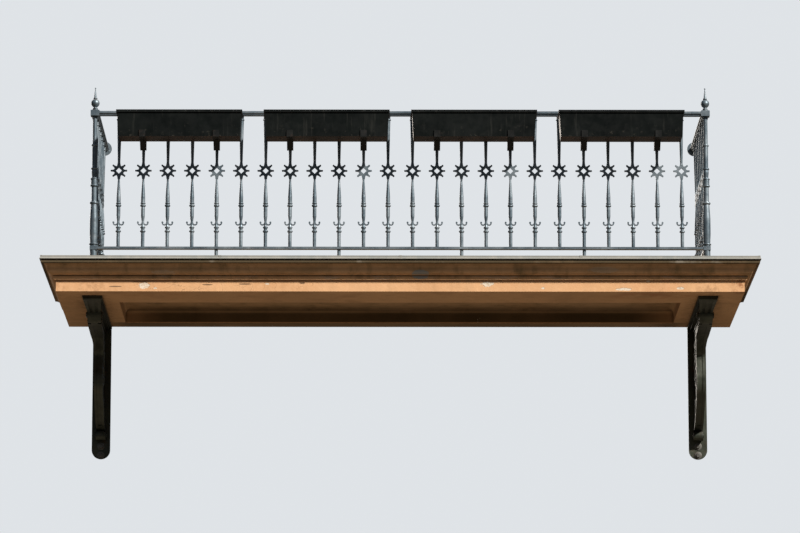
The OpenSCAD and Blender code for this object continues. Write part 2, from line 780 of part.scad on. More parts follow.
slab();
deck_screed();
flashing_front();
mirror([1, 0, 0]) flashing_side();  // flashing_left
flashing_side();  // flashing_right
translate([-bracket_x, 0, 0]) bracket();  // bracket_left
translate([bracket_x, 0, 0]) bracket();  // bracket_right
mirror([1, 0, 0]) corner_post();  // corner_post_left
corner_post();  // corner_post_right
mirror([1, 0, 0]) finial();  // finial_left
finial();  // finial_right
handrail_front();
mirror([1, 0, 0]) handrail_side();  // handrail_left
handrail_side();  // handrail_right
bottom_rail_front();
mirror([1, 0, 0]) bottom_rail_side();  // bottom_rail_left
bottom_rail_side();  // bottom_rail_right
front_balusters(0);  // front_balusters_1
front_balusters(1);  // front_balusters_2
front_balusters(2);  // front_balusters_3
front_balusters(3);  // front_balusters_4
mirror([1, 0, 0]) side_balusters();  // left_balusters
side_balusters();  // right_balusters
rail_legs();
mirror([1, 0, 0]) wall_plates();  // wall_plates_left
wall_plates();  // wall_plates_right
planter_at(0);  // planter_1
planter_at(1);  // planter_2
planter_at(2);  // planter_3
planter_at(3);  // planter_4
hooks_at(0);  // planter_hooks_1
hooks_at(1);  // planter_hooks_2
hooks_at(2);  // planter_hooks_3
hooks_at(3);  // planter_hooks_4
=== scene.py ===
"""The wall balcony's looks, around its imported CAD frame. Metres: the wall is the plane y = 0, the
front faces -Y, +X is to the right and +Z is up, as in the frame."""

import math
import random

import bmesh
import bpy
from mathutils import Matrix, Vector


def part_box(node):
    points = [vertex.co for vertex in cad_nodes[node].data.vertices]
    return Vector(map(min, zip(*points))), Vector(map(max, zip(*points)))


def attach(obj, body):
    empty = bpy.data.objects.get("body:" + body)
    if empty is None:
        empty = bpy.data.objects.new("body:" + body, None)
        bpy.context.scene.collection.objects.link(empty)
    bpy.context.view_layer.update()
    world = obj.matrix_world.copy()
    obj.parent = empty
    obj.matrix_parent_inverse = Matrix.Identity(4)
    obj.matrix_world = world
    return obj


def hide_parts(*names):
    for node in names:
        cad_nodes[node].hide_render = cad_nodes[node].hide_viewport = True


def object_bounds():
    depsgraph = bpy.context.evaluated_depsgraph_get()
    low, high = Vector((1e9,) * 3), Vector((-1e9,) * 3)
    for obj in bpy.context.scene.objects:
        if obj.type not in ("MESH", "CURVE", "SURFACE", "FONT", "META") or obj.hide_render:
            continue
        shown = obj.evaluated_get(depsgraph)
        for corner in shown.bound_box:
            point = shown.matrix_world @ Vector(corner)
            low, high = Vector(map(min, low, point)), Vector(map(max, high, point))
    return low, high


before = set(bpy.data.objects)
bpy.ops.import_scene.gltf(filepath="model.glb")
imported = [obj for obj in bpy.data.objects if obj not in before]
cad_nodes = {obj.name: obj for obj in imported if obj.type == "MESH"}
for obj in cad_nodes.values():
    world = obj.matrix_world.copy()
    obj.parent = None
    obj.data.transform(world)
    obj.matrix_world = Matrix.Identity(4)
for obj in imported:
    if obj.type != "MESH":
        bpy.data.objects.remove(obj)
cad_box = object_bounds()


def middle_of(node):
    low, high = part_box(node)
    return (low + high) / 2


# Places read from the frame
DECK_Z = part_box("deck_screed")[1].z
SOFFIT_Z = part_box("slab")[0].z
POST_X = middle_of("corner_post_right").x
RAIL_Y = middle_of("corner_post_right").y
BRACKET_X = middle_of("bracket_right").x
CENTRE = (cad_box[0] + cad_box[1]) / 2

# Counts and sizes of the CAD that its boxes don't show
FRONT_COUNT = 24
SIDE_COUNT = 6
PITCH = 2 * POST_X / (FRONT_COUNT + 1)
SIDE_PITCH = RAIL_Y / (SIDE_COUNT + 1)
FASCIA_X = 2.170
FASCIA_Y = -1.240
FASCIA_TOP = SOFFIT_Z + 0.073
MOULDING_MID = SOFFIT_Z + 0.125
PANEL_X = 1.791
PANEL_FRONT = -0.861
PANEL_BACK = -0.144
SHEET_W = 0.150

# The middles of a bracket's two scrolls: distance from the wall, and under the soffit
SCROLL_EYE = (0.835, 0.076)
FOOT_SCROLL_EYE = (0.048, 0.730)


# Materials

class Paint:
    """A Principled material, built from procedural nodes in the frame's own metres."""

    def __init__(self, name, roughness, metallic=0.0, specular=0.5):
        self.material = bpy.data.materials.new(name)
        self.material.use_nodes = True
        self.tree = self.material.node_tree
        self.tree.nodes.clear()
        output = self.tree.nodes.new("ShaderNodeOutputMaterial")
        self.shader = self.tree.nodes.new("ShaderNodeBsdfPrincipled")
        self.tree.links.new(self.shader.outputs[0], output.inputs["Surface"])
        self.shader.inputs["Roughness"].default_value = roughness
        self.shader.inputs["Metallic"].default_value = metallic
        self.shader.inputs["Specular IOR Level"].default_value = specular
        self.place = self.tree.nodes.new("ShaderNodeTexCoord").outputs["Object"]
        self.height = None

    def node(self, kind, inputs=None, **settings):
        made = self.tree.nodes.new(kind)
        for name, value in settings.items():
            setattr(made, name, value)
        for name, value in (inputs or {}).items():
            if isinstance(value, bpy.types.NodeSocket):
                self.tree.links.new(value, made.inputs[name])
            else:
                made.inputs[name].default_value = value
        return made

    def stretched(self, x, y, z):
        """The position, scaled on each axis, for marks that run along one of them."""
        return self.node("ShaderNodeMapping", {"Vector": self.place, "Scale": (x, y, z)}).outputs[0]

    def noise(self, scale, detail, roughness=0.55, distortion=0.0, at=None):
        return self.node("ShaderNodeTexNoise", {
            "Vector": at or self.place, "Scale": scale, "Detail": detail,
            "Roughness": roughness, "Distortion": distortion,
        }).outputs["Fac"]

    def edge_distance(self, scale, at):
        """The distance from the edges of a random net."""
        return self.node(
            "ShaderNodeTexVoronoi", {"Vector": at, "Scale": scale}, feature="DISTANCE_TO_EDGE"
        ).outputs["Distance"]

    def band(self, value, low, high, to_low=0.0, to_high=1.0):
        """Goes smoothly from to_low to to_high as value goes from low to high."""
        return self.node("ShaderNodeMapRange", {
            "Value": value, "From Min": low, "From Max": high, "To Min": to_low, "To Max": to_high,
        }, interpolation_type="SMOOTHSTEP").outputs["Result"]

    def math(self, operation, a, b=0.0):
        return self.node("ShaderNodeMath", {0: a, 1: b}, operation=operation).outputs[0]

    def times(self, *values):
        result = values[0]
        for value in values[1:]:
            result = self.math("MULTIPLY", result, value)
        return result

    def axis(self, name):
        return self.node("ShaderNodeSeparateXYZ", {0: self.place}).outputs[name]

    def off_middle(self):
        """The distance from the balcony's middle, to either side."""
        return self.math("ABSOLUTE", self.axis("X"))

    def facing(self, name):
        """How far the surface faces along an axis, from -1 to 1."""
        normal = self.node("ShaderNodeNewGeometry").outputs["Normal"]
        return self.node("ShaderNodeSeparateXYZ", {0: normal}).outputs[name]

    def distance(self, point, squeeze):
        """The distance from a point, scaled on each axis."""
        offset = self.node("ShaderNodeVectorMath", {0: self.place, 1: point}, operation="SUBTRACT")
        scaled = self.node(
            "ShaderNodeVectorMath", {0: offset.outputs[0], 1: squeeze}, operation="MULTIPLY"
        )
        return self.node(
            "ShaderNodeVectorMath", {0: scaled.outputs[0]}, operation="LENGTH"
        ).outputs["Value"]

    def near(self, point, inner, outer, squeeze=(1.0, 1.0, 1.0)):
        """1 within inner of a point and 0 past outer, with the distance scaled on each axis."""
        return self.band(self.distance(point, squeeze), outer, inner)

    def blot(self, x, z, width, height, ragged):
        """A ragged spot of that width and height, at the front and not on faces that look down."""
        far = self.distance((x, 0.0, z), (2.0 / width, 0.0, 2.0 / height))
        edge = self.math("ADD", far, self.times(self.noise(48, 5, 0.65), ragged))
        spot = self.band(edge, 1.0 + 0.5 * ragged, 0.9 + 0.5 * ragged)
        not_below = self.band(self.facing("Z"), -0.97, -0.85)
        in_front = self.band(self.axis("Y"), -0.9, -1.0)
        return self.times(spot, not_below, in_front)

    def recess(self, distance):
        """1 in corners and under ledges, 0 in the open."""
        shade = self.node("ShaderNodeAmbientOcclusion", {"Distance": distance}, samples=8)
        return self.band(shade.outputs["AO"], 0.95, 0.45)

    def mix(self, share, a, b):
        """Colour a where share is 0, and colour b where it is 1."""
        made = self.node("ShaderNodeMix", data_type="RGBA")
        for index, value in ((0, share), (6, a), (7, b)):
            if isinstance(value, bpy.types.NodeSocket):
                self.tree.links.new(value, made.inputs[index])
            elif index:
                made.inputs[index].default_value = (*value, 1.0)
            else:
                made.inputs[index].default_value = value
        return made.outputs[2]

    def raise_by(self, value, depth):
        """Adds a relief of that depth, in metres, to the bump."""
        step = self.math("MULTIPLY", value, depth)
        self.height = step if self.height is None else self.math("ADD", self.height, step)

    def done(self, colour, roughness=None):
        self.tree.links.new(colour, self.shader.inputs["Base Color"])
        if roughness is not None:
            self.tree.links.new(roughness, self.shader.inputs["Roughness"])
        bump = self.node("ShaderNodeBump", {
            "Height": self.height, "Distance": 1.0, "Strength": 1.0,
        })
        self.tree.links.new(bump.outputs[0], self.shader.inputs["Normal"])
        return self.material


# Plaster, with a function for each kind of mark

def plaster_dirt_and_shade(p, tone):
    """Dirt that has run down from the sheet, in streaks along the moulding, and painted shade on
    the moulding, just under the sheet and in corners.
    """
    streaks = p.band(p.noise(1.0, 6, 0.6, at=p.stretched(13, 13, 1.4)), 0.44, 0.74)
    over_fascia = p.band(p.axis("Z"), FASCIA_TOP - 0.003, FASCIA_TOP + 0.012)
    # Painted shade just under the sheet
    shade_under_sheet = p.band(p.axis("Z"), DECK_Z - 0.070, DECK_Z - 0.030)
    stains = p.band(p.noise(1.0, 5, 0.6, at=p.stretched(6, 6, 12)), 0.40, 0.66, 0.0, 0.30)
    # Painted shade over the whole moulding, with the streaks of dirt darker still
    grime_and_shade = p.math("ADD", p.band(streaks, 0.0, 1.0, 0.22, 0.60), stains)
    darkening = p.math("MAXIMUM", p.times(grime_and_shade, over_fascia), p.times(shade_under_sheet, 0.6))
    darkening = p.math("MAXIMUM", darkening, p.times(streaks, 0.13))
    tone = p.mix(darkening, tone, (0.200, 0.139, 0.071))
    # Painted shade in corners and under ledges
    tone = p.mix(p.times(p.recess(0.03), 0.6), tone, (0.115, 0.072, 0.040))
    return tone, darkening


def plaster_shadow_line(p, tone):
    """A thin line of painted shadow under the sheet, with lime washed over it in places."""
    foot = DECK_Z - 0.049
    shadow_line = p.band(p.axis("Z"), foot, foot + 0.004)
    shadow_line = p.times(shadow_line, p.band(p.noise(5, 5, 0.6), 0.25, 0.45, 0.75, 0.95))
    tone = p.mix(shadow_line, tone, (0.060, 0.047, 0.026))
    lime = p.times(shadow_line, p.band(p.noise(1.0, 4, 0.6, at=p.stretched(3.1, 3.1, 6)), 0.56, 0.66))
    return p.mix(p.times(lime, 0.55), tone, (0.30, 0.27, 0.22))


def inside_panel(p):
    """1 on the field and the sides of the sunk panel, 0 elsewhere."""
    return p.times(
        p.band(p.axis("Z"), SOFFIT_Z + 0.001, SOFFIT_Z + 0.010),
        p.band(p.axis("Y"), PANEL_FRONT - 0.04, PANEL_FRONT - 0.02),
        p.band(p.axis("Y"), PANEL_BACK + 0.09, PANEL_BACK + 0.04),
        p.band(p.off_middle(), PANEL_X + 0.07, PANEL_X + 0.03),
    )


def plaster_panel_shade(p, tone, inside, below):
    """Painted shade in the sunk panel: its field a little darker, its sides near black, and the
    strip between it and the wall darker, less so beyond the panel's ends."""
    tone = p.mix(p.times(inside, 0.34), tone, (0.23, 0.140, 0.066))
    shade_front, shade_back = -0.36, -0.16
    faint_x, deep_x = 1.80, 1.50
    upright = p.band(p.facing("Z"), -0.85, -0.25)
    panel_shade = p.math("MAXIMUM", upright, p.band(p.axis("Y"), shade_front, shade_back, 0.0, 0.70))
    panel_shade = p.times(panel_shade, p.band(p.off_middle(), faint_x, deep_x, 0.35, 1.0))
    cover = p.band(p.noise(2.6, 4), 0.3, 0.7, 0.80, 0.93)
    # Painted shade, near black, on the panel's upright sides and over its field towards the wall
    tone = p.mix(p.times(inside, panel_shade, cover), tone, (0.050, 0.033, 0.012))
    light_x, dark_x = 1.95, 1.75
    strip = p.times(p.band(p.axis("Y"), PANEL_BACK - 0.031, PANEL_BACK - 0.006), below)
    ends = p.band(p.off_middle(), light_x, dark_x, 0.15, 0.85)
    return p.mix(p.times(strip, ends), tone, (0.085, 0.055, 0.028))


def plaster_damp(p, tone, below):
    """Damp blotches and dust on the soffit."""
    blotch = p.band(p.noise(3.4, 6, 0.62, 0.4), 0.48, 0.70)
    tone = p.mix(p.times(below, blotch, 0.40), tone, (0.33, 0.185, 0.095))
    cloud = p.band(p.noise(1.1, 3, 0.5), 0.46, 0.64)
    return p.mix(p.times(below, cloud, 0.30), tone, (0.42, 0.27, 0.16))


def plaster_rust(p, tone):
    """Rust at both outer corners, in front of the panel's ends and round the brackets."""
    corner_x, corner_y = FASCIA_X - 0.018, FASCIA_Y + 0.015
    seep_x, seep_y = 1.60, -1.10
    bracket_y = -0.6
    grain = p.band(p.noise(26, 5, 0.7), 0.44, 0.60)
    for side, share in ((-1, 0.35), (1, 0.85)):
        corner = p.near((side * corner_x, corner_y, SOFFIT_Z + 0.02), 0.01, 0.085)
        tone = p.mix(p.times(corner, grain, share), tone, (0.23, 0.070, 0.020))
        seep = p.near((side * seep_x, seep_y, SOFFIT_Z), 0.05, 0.34, (0.8, 1.8, 1.0))
        seep = p.times(seep, p.band(p.noise(9, 5, 0.6), 0.42, 0.60), share * 0.7)
        tone = p.mix(seep, tone, (0.46, 0.185, 0.085))
        bracket = p.near((side * BRACKET_X, bracket_y, SOFFIT_Z), 0.075, 0.14, (1.0, 0.11, 1.0))
        tone = p.mix(p.times(bracket, grain, 0.35), tone, (0.20, 0.095, 0.045))
    return tone


def plaster_cracks(p, tone):
    """Hair cracks, mostly along the left half of the fascia, and a few open ones."""
    # The place of each open crack along the fascia and over the soffit, then its width and height
    open_cracks = (
        (-1.795, 0.030, 0.085, 0.008), (-1.640, 0.060, 0.120, 0.009), (-1.215, 0.042, 0.070, 0.009),
        (-0.980, 0.046, 0.080, 0.010), (-0.620, 0.052, 0.034, 0.012),
    )
    swirl = p.node("ShaderNodeTexNoise", {"Vector": p.place, "Scale": 5.0}).outputs["Color"]
    warped = p.node("ShaderNodeVectorMath", {0: p.place, 1: swirl}, operation="ADD").outputs[0]
    crack = p.band(p.edge_distance(4.6, warped), 0.007, 0.0)
    left_half = p.blot(-1.1, SOFFIT_Z + 0.05, 1.2, 0.16, 0.3)
    crack = p.times(crack, p.math("MAXIMUM", p.band(p.noise(1.3, 2), 0.52, 0.60), left_half), 0.65)
    for x, over, width, height in open_cracks:
        crack = p.math("MAXIMUM", crack, p.blot(x, SOFFIT_Z + over, width, height, 0.5))
    return p.mix(p.times(crack, 0.8), tone, (0.14, 0.082, 0.045)), crack


def plaster_chips(p, tone):
    """Paint that has come off: chips where the photograph shows them, small flakes elsewhere."""
    # The place of each chip along the fascia and over the soffit, then its width and height
    chips = (
        (-1.617, 0.036, 0.080, 0.042), (-1.545, 0.020, 0.022, 0.012), (-0.840, 0.048, 0.026, 0.012),
        (0.550, 0.046, 0.075, 0.034), (0.900, 0.022, 0.022, 0.014), (1.409, 0.015, 0.095, 0.018),
        (1.562, 0.067, 0.026, 0.010), (1.765, 0.022, 0.045, 0.017),
    )
    flake = p.band(p.noise(9, 7, 0.68), 0.715, 0.735)
    for x, over, width, height in chips:
        flake = p.math("MAXIMUM", flake, p.blot(x, SOFFIT_Z + over, width, height, 1.7))
    lime = p.mix(p.band(p.noise(90, 4), 0.4, 0.7), (0.74, 0.66, 0.55), (0.56, 0.45, 0.33))
    return p.mix(p.times(flake, 0.92), tone, lime), flake


def plaster_scrapes(p, tone, inside):
    """Scrapes along the quarter round, a lead-coloured mend, and pale lime that has washed out."""
    round_top = FASCIA_TOP + 0.024
    quarter_round = p.times(
        p.band(p.axis("Z"), FASCIA_TOP - 0.001, FASCIA_TOP + 0.005),
        p.band(p.axis("Z"), round_top + 0.003, round_top - 0.003),
        p.math("SUBTRACT", 1.0, inside),
    )
    scrapes = p.band(p.noise(1.0, 5, 0.65, at=p.stretched(5.5, 5.5, 40)), 0.52, 0.66)
    tone = p.mix(p.times(quarter_round, scrapes, 0.42), tone, (0.52, 0.43, 0.36))
    mend = p.blot(0.125, MOULDING_MID - 0.022, 0.115, 0.055, 0.6)
    tone = p.mix(p.times(mend, 0.85), tone, (0.27, 0.29, 0.29))
    wash = p.math("MAXIMUM", p.blot(-1.49, MOULDING_MID - 0.013, 0.15, 0.030, 1.1),
                  p.blot(1.28, MOULDING_MID + 0.005, 0.20, 0.040, 1.1))
    return p.mix(p.times(wash, 0.35), tone, (0.50, 0.43, 0.34))


def plaster_back(p, tone):
    """The back, where it is cut off at the wall: raw mortar and brick dust."""
    back = p.times(p.band(p.facing("Y"), 0.6, 0.9), p.band(p.axis("Y"), -0.004, -0.001))
    raw = p.mix(p.band(p.noise(55, 6, 0.7), 0.42, 0.58), (0.32, 0.275, 0.225), (0.19, 0.150, 0.120))
    raw = p.mix(p.band(p.noise(5, 6, 0.65), 0.48, 0.66, 0.0, 0.7), raw, (0.28, 0.155, 0.100))
    return p.mix(back, tone, raw), back


def painted_plaster():
    """Sand-coloured masonry paint on render, with dirt, painted shade in its hollows, cracks and
    worn spots.
    """
    p = Paint("painted_plaster", roughness=0.86, specular=0.25)
    tone = p.mix(p.band(p.noise(1.6, 5), 0.35, 0.68), (0.70, 0.410, 0.215), (0.63, 0.355, 0.180))
    tone = p.mix(p.band(p.noise(38, 3), 0.4, 0.75, 0.0, 0.3), tone, (0.76, 0.48, 0.28))
    inside = inside_panel(p)
    below = p.band(p.facing("Z"), -0.6, -0.9)
    tone, darkening = plaster_dirt_and_shade(p, tone)
    tone = plaster_shadow_line(p, tone)
    tone = plaster_panel_shade(p, tone, inside, below)
    tone = plaster_damp(p, tone, below)
    tone = plaster_rust(p, tone)
    tone, crack = plaster_cracks(p, tone)
    tone, flake = plaster_chips(p, tone)
    tone = plaster_scrapes(p, tone, inside)
    tone, back = plaster_back(p, tone)
    p.raise_by(p.noise(160, 3, 0.6), 0.0007)
    p.raise_by(p.noise(11, 4), 0.0030)
    p.raise_by(p.times(crack, p.math("SUBTRACT", 1.0, back)), -0.0015)
    p.raise_by(flake, -0.0016)
    p.raise_by(p.times(back, p.noise(45, 5, 0.7)), 0.010)
    return p.done(tone, p.band(darkening, 0.0, 1.0, 0.84, 0.95))


# The other materials

def iron_paint(name, coat, worn, metallic, rust_share, dust_share, specular=0.5):
    """Old satin paint with ground iron in it: brush marks and sand texture, rust and painted shade
    in the joints, and dust on top."""
    p = Paint(name, roughness=0.45, metallic=metallic, specular=specular)
    tone = p.mix(p.band(p.noise(7, 5, 0.6), 0.38, 0.66), coat, worn)
    tone = p.mix(p.band(p.noise(85, 3), 0.5, 0.8, 0.0, 0.3), tone, tuple(1.4 * c for c in worn))
    joint_rust_and_shade = p.recess(0.018)
    patch = p.band(p.noise(31, 6, 0.7), 0.55, 0.66)
    rust = p.math("MAXIMUM", p.times(joint_rust_and_shade, patch, rust_share), p.times(patch, rust_share * 0.16))
    tone = p.mix(rust, tone, (0.155, 0.062, 0.026))
    # Painted shade in the joints and corners
    tone = p.mix(p.times(joint_rust_and_shade, 0.45), tone, (0.012, 0.012, 0.011))
    dust = p.times(p.band(p.facing("Z"), 0.35, 0.95), p.band(p.noise(14, 4), 0.3, 0.7), dust_share)
    tone = p.mix(dust, tone, (0.31, 0.285, 0.245))
    p.raise_by(p.noise(260, 3, 0.6), 0.00022)
    p.raise_by(p.noise(46, 3), 0.0005)
    p.raise_by(patch, -0.00025)
    rough = p.math("MAXIMUM", p.band(p.noise(24, 4), 0.3, 0.75, 0.38, 0.54), p.times(rust, 0.85))
    rough = p.math("MAXIMUM", rough, p.times(dust, 0.9))
    return p.done(tone, rough)


def sheet_metal():
    """Painted zinc sheet, gone chalky and streaked, with a greenish grey cast and painted shade in
    its hollows.
    """
    p = Paint("sheet_metal", roughness=0.6, metallic=0.2, specular=0.3)
    tone = p.mix(p.band(p.noise(3.2, 5), 0.35, 0.7), (0.30, 0.295, 0.27), (0.235, 0.25, 0.24))
    run = p.band(p.noise(1.0, 6, 0.65, at=p.stretched(26, 26, 3)), 0.46, 0.7)
    tone = p.mix(p.times(run, 0.5), tone, (0.38, 0.36, 0.32))
    tone = p.mix(p.times(p.band(p.noise(19, 6, 0.7), 0.56, 0.7), 0.4), tone, (0.15, 0.17, 0.165))
    # Painted shade in the hollows
    tone = p.mix(p.times(p.recess(0.02), 0.5), tone, (0.09, 0.085, 0.07))
    p.raise_by(p.noise(4.5, 3), 0.004)
    p.raise_by(p.noise(120, 2), 0.0002)
    return p.done(tone, p.band(p.noise(12, 4), 0.3, 0.7, 0.55, 0.75))


def trough_plastic():
    """Matt black moulded plastic, dusty, spotted by hard water low down, with painted warm bounce
    light underneath.
    """
    splash_top, splash_foot = DECK_Z + 0.90, DECK_Z + 0.79
    p = Paint("trough_plastic", roughness=0.55, specular=0.14)
    faded = p.band(p.noise(5, 4), 0.35, 0.7)
    tone = p.mix(faded, (0.0036, 0.0050, 0.0050), (0.0070, 0.0090, 0.0088))
    splash = p.band(p.noise(34, 6, 0.72), 0.58, 0.68)
    low_down = p.band(p.axis("Z"), splash_top, splash_foot)
    tone = p.mix(p.times(splash, low_down, 0.22), tone, (0.13, 0.12, 0.10))
    run = p.band(p.noise(1.0, 5, 0.6, at=p.stretched(42, 42, 2.5)), 0.56, 0.72)
    tone = p.mix(p.times(run, 0.12), tone, (0.10, 0.10, 0.09))
    # Painted warm bounce light on the faces that look down
    under = p.times(p.band(p.facing("Z"), -0.6, -0.95), p.band(p.noise(6, 4), 0.3, 0.7, 0.4, 0.8))
    tone = p.mix(under, tone, (0.090, 0.058, 0.043))
    dust = p.times(p.band(p.facing("Z"), 0.3, 0.95), p.band(p.noise(18, 4), 0.3, 0.7), 0.6)
    tone = p.mix(dust, tone, (0.17, 0.155, 0.13))
    p.raise_by(p.noise(420, 2), 0.00012)
    p.raise_by(p.noise(6, 2), 0.0012)
    return p.done(tone, p.math("MAXIMUM", p.band(p.noise(22, 4), 0.3, 0.7, 0.34, 0.50), dust))


def bolt_steel():
    """Bolts and clamp screws: galvanised, dulled and lightly rusted."""
    p = Paint("bolt_steel", roughness=0.45, metallic=0.75)
    zinc = (0.15, 0.15, 0.14)
    tone = p.mix(p.band(p.noise(40, 4), 0.4, 0.7), zinc, tuple(0.65 * c for c in zinc))
    tone = p.mix(p.times(p.band(p.noise(75, 5, 0.7), 0.55, 0.65), 0.6), tone, (0.15, 0.065, 0.03))
    p.raise_by(p.noise(500, 2), 0.0001)
    return p.done(tone, p.band(p.noise(60, 3), 0.3, 0.7, 0.4, 0.65))


def floor_tiles():
    """Buff floor tiles: each tile has its own tone, from the tone stored on its faces, with painted
    shade in the joints.
    """
    p = Paint("floor_tiles", roughness=0.8, specular=0.12)
    own = p.node("ShaderNodeAttribute", attribute_name="tone").outputs["Fac"]
    tone = p.mix(own, (0.34, 0.235, 0.150), (0.45, 0.335, 0.230))
    tone = p.mix(p.band(p.noise(55, 4), 0.45, 0.75, 0.0, 0.5), tone, (0.27, 0.190, 0.125))
    darkening = p.band(p.noise(2.4, 6, 0.65), 0.45, 0.72)
    tone = p.mix(p.times(darkening, 0.45), tone, (0.21, 0.175, 0.14))
    # Painted shade in the joints and at the tiles' edges
    tone = p.mix(p.times(p.recess(0.03), 0.5), tone, (0.10, 0.085, 0.07))
    p.raise_by(p.noise(90, 3), 0.0003)
    return p.done(tone, p.band(p.noise(9, 4), 0.3, 0.7, 0.70, 0.90))


def tile_grout():
    """Grey cement mortar, for the tiles' bed and joints."""
    p = Paint("tile_grout", roughness=0.92, specular=0.2)
    tone = p.mix(p.band(p.noise(12, 5), 0.35, 0.7), (0.20, 0.18, 0.155), (0.13, 0.115, 0.10))
    p.raise_by(p.noise(300, 3), 0.0006)
    return p.done(tone)


PLASTER = painted_plaster()
RAIL_IRON = iron_paint("railing_paint", coat=(0.098, 0.135, 0.165), worn=(0.205, 0.250, 0.285),
                       metallic=0.55, rust_share=0.75, dust_share=0.5)
BRACKET_IRON = iron_paint("bracket_paint", coat=(0.030, 0.036, 0.026), worn=(0.060, 0.068, 0.050),
                          metallic=0.3, rust_share=0.8, dust_share=0.5)
HOOK_IRON = iron_paint("strap_paint", coat=(0.006, 0.007, 0.007), worn=(0.012, 0.013, 0.013),
                       metallic=0.0, rust_share=0.4, dust_share=0.4, specular=0.2)
SHEET = sheet_metal()
PLASTIC = trough_plastic()
STEEL = bolt_steel()
TILES = floor_tiles()
GROUT = tile_grout()


# The CAD pieces that stay, with their finish

def dress(prefixes, material):
    for name, node in cad_nodes.items():
        if name.startswith(prefixes):
            node.data.materials.clear()
            node.data.materials.append(material)


def soften(prefixes, width):
    """Rounds the sharp edges, so that they catch the light as cast and plastered edges do."""
    for name, node in cad_nodes.items():
        if name.startswith(prefixes):
            edge = node.modifiers.new("soft_edges", "BEVEL")
            edge.width, edge.segments = width, 2
            edge.limit_method, edge.angle_limit = "ANGLE", math.radians(42)
            edge.harden_normals = False


TROUGHS = ("planter_1", "planter_2", "planter_3", "planter_4")
RAILING = (
    "corner_post", "finial", "handrail", "bottom_rail", "front_balusters", "left_balusters",
    "right_balusters", "rail_legs", "wall_plates",
)
dress(("slab",), PLASTER)
dress(("flashing",), SHEET)
dress(("bracket",), BRACKET_IRON)
dress(RAILING, RAIL_IRON)
dress(("planter_hooks",), HOOK_IRON)
dress(TROUGHS, PLASTIC)
soften(("slab",), 0.003)
soften(TROUGHS, 0.0018)
soften(("planter_hooks",), 0.0008)


# Building blocks for the pieces that are added

def placed(name, mesh, materials):
    """A new object from a bmesh in the frame's own metres."""
    data = bpy.data.meshes.new(name)
    mesh.to_mesh(data)
    mesh.free()
    made = bpy.data.objects.new(name, data)
    bpy.context.scene.collection.objects.link(made)
    for material in materials:
        data.materials.append(material)
    return made


def piece(name, mesh, materials):
    """A new piece on the balcony's one body."""
    bmesh.ops.recalc_face_normals(mesh, faces=mesh.faces)
    made = placed(name, mesh, materials)
    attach(made, "root")
    return made


def add_box(mesh, low, high, bevel=0.0, material=0):
    """A box from its lowest to its highest corner, with its edges rounded if bevel isn't 0."""
    size = Vector(high) - Vector(low)
    middle = (Vector(high) + Vector(low)) / 2
    place = Matrix.Translation(middle) @ Matrix.Diagonal((*size, 1.0))
    made = bmesh.ops.create_cube(mesh, size=1.0, matrix=place)["verts"]
    faces = {f for v in made for f in v.link_faces}
    if bevel:
        edges = {e for v in made for e in v.link_edges}
        faces = set(bmesh.ops.bevel(
            mesh, geom=list(edges), offset=bevel, segments=2, affect="EDGES", profile=0.7
        )["faces"]) | {f for f in faces if f.is_valid}
    for face in faces:
        face.material_index = material
    return faces


def add_turned(mesh, profile, place, sides):
    """A turned piece: profile gives radius and height pairs along the piece's own Z."""
    rings = []
    for radius, height in profile:
        if radius == 0:
            rings.append([mesh.verts.new(place @ Vector((0, 0, height)))])
            continue
        angles = [math.tau * i / sides for i in range(sides)]
        rings.append([
            mesh.verts.new(place @ Vector((radius * math.cos(a), radius * math.sin(a), height)))
            for a in angles
        ])
    made = []
    for a, b in zip(rings, rings[1:]):
        for i in range(sides):
            j = (i + 1) % sides
            corners = [a[i % len(a)], a[j % len(a)], b[j % len(b)], b[i % len(b)]]
            corners = [c for k, c in enumerate(corners) if c not in corners[:k]]
            made.append(mesh.faces.new(corners))
    for ring, flip in ((rings[0], True), (rings[-1], False)):
        if len(ring) > 1:
            made.append(mesh.faces.new(ring[::-1] if flip else ring))
    for face in made:
        face.smooth = True
    return made


def facing_place(point, direction):
    """The place of a turned piece whose Z points along direction."""
    turn = Vector(direction).to_track_quat("Z", "Y").to_matrix().to_4x4()
    return Matrix.Translation(Vector(point)) @ turn


def dome(radius, height):
    """The profile of a low domed head."""
    steps = 5
    return [(radius * math.cos(math.pi / 2 * i / steps), height * math.sin(math.pi / 2 * i / steps))
            for i in range(steps)] + [(0, height)]


def add_hex(mesh, place, across, height):
    """A hexagonal head with a washer under it, standing on a face."""
    corner_r = across / math.sqrt(3)
    washer_r, washer_t, edge = across * 1.05, 0.002, 0.0004
    inner_r = across * 0.98
    washer = [(0, 0), (inner_r, 0), (washer_r, edge), (washer_r, washer_t - edge),
              (inner_r, washer_t), (0, washer_t)]
    add_turned(mesh, washer, place, 28)
    head = [(corner_r, washer_t), (corner_r, height * 0.86), (corner_r * 0.86, height), (0, height)]
    for face in add_turned(mesh, head, place, 6):
        face.smooth = False


def add_tube(mesh, path, radii, sides, flat):
    """A bar swept along a path, with its own radius at each point, scaled by flat on each axis."""
    rings = []
    for i, point in enumerate(path):
        along = (path[min(i + 1, len(path) - 1)] - path[max(i - 1, 0)]).normalized()
        turn = along.to_track_quat("Z", "X").to_matrix()
        ring = []
        for k in range(sides):
            angle = math.tau * k / sides
            step = turn @ Vector((radii[i] * math.cos(angle), radii[i] * math.sin(angle), 0))
            ring.append(mesh.verts.new(point + Vector(a * b for a, b in zip(step, flat))))
        rings.append(ring)
    made = [mesh.faces.new(rings[0][::-1]), mesh.faces.new(rings[-1])]
    for a, b in zip(rings, rings[1:]):
        for k in range(sides):
            n = (k + 1) % sides
            made.append(mesh.faces.new((a[k], a[n], b[n], b[k])))
    for face in made:
        face.smooth = True


# Deck

